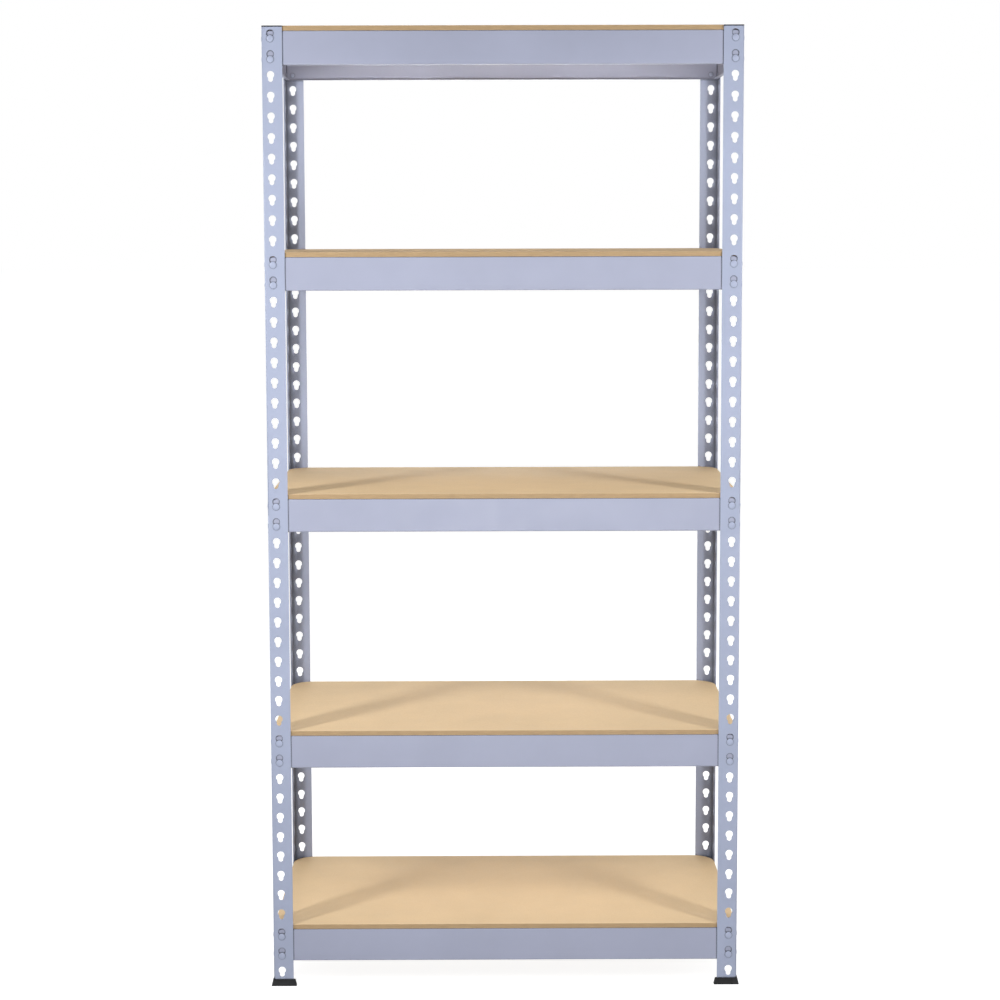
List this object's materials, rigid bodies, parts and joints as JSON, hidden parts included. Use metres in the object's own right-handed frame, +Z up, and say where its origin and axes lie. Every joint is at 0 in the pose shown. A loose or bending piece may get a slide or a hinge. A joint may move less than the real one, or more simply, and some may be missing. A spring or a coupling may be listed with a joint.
{
  "type": "boltless steel shelving unit",
  "caption": "Free-standing boltless steel shelving: keyhole-punched angle uprights in two halves, riveted beams, loose boards and plastic feet.",
  "frame": {"origin": "on the floor, in the middle of the unit's footprint", "axes": "+Z up, +X along the shelves to the right seen from the front, the front faces -Y"},
  "size_m": [0.9052, 0.4552, 1.8351],
  "materials": {
    "powder_coat": "smooth satin powder coat, pale lavender grey",
    "painted_rivet": "satin paint in the colour of the steel",
    "fibreboard": "bare pressed fibreboard, tan",
    "black_plastic": "matte black moulded plastic"
  },
  "bodies": {
    "frame": {"cap_front_left": "black_plastic", "cap_front_right": "black_plastic", "cap_rear_left": "black_plastic", "cap_rear_right": "black_plastic", "foot_front_left": "black_plastic", "foot_front_right": "black_plastic", "foot_rear_left": "black_plastic", "foot_rear_right": "black_plastic", "tier_1_front_beam": "powder_coat", "tier_1_left_beam": "powder_coat", "tier_1_rear_beam": "powder_coat", "tier_1_right_beam": "powder_coat", "tier_1_rivets": "painted_rivet", "tier_2_front_beam": "powder_coat", "tier_2_left_beam": "powder_coat", "tier_2_rear_beam": "powder_coat", "tier_2_right_beam": "powder_coat", "tier_2_rivets": "painted_rivet", "tier_3_front_beam": "powder_coat", "tier_3_left_beam": "powder_coat", "tier_3_rear_beam": "powder_coat", "tier_3_right_beam": "powder_coat", "tier_3_rivets": "painted_rivet", "tier_4_front_beam": "powder_coat", "tier_4_left_beam": "powder_coat", "tier_4_rear_beam": "powder_coat", "tier_4_right_beam": "powder_coat", "tier_4_rivets": "painted_rivet", "tier_5_front_beam": "powder_coat", "tier_5_left_beam": "powder_coat", "tier_5_rear_beam": "powder_coat", "tier_5_right_beam": "powder_coat", "tier_5_rivets": "painted_rivet", "upright_lower_front_left": "powder_coat", "upright_lower_front_right": "powder_coat", "upright_lower_rear_left": "powder_coat", "upright_lower_rear_right": "powder_coat", "upright_upper_front_left": "powder_coat", "upright_upper_front_right": "powder_coat", "upright_upper_rear_left": "powder_coat", "upright_upper_rear_right": "powder_coat"},
    "tier_1_board_body": {"tier_1_board": "fibreboard"},
    "tier_2_board_body": {"tier_2_board": "fibreboard"},
    "tier_3_board_body": {"tier_3_board": "fibreboard"},
    "tier_4_board_body": {"tier_4_board": "fibreboard"},
    "tier_5_board_body": {"tier_5_board": "fibreboard"}
  },
  "joints": [
    {"name": "tier_1_board_lift", "type": "slide", "parent": "frame", "child": "tier_1_board_body", "axis": [0, 0, 1], "range_m": [0, 0.3]},
    {"name": "tier_2_board_lift", "type": "slide", "parent": "frame", "child": "tier_2_board_body", "axis": [0, 0, 1], "range_m": [0, 0.38]},
    {"name": "tier_3_board_lift", "type": "slide", "parent": "frame", "child": "tier_3_board_body", "axis": [0, 0, 1], "range_m": [0, 0.38]},
    {"name": "tier_4_board_lift", "type": "slide", "parent": "frame", "child": "tier_4_board_body", "axis": [0, 0, 1], "range_m": [0, 0.34]},
    {"name": "tier_5_board_lift", "type": "slide", "parent": "frame", "child": "tier_5_board_body", "axis": [0, 0, 1], "range_m": [0, 0.3]}
  ]
}
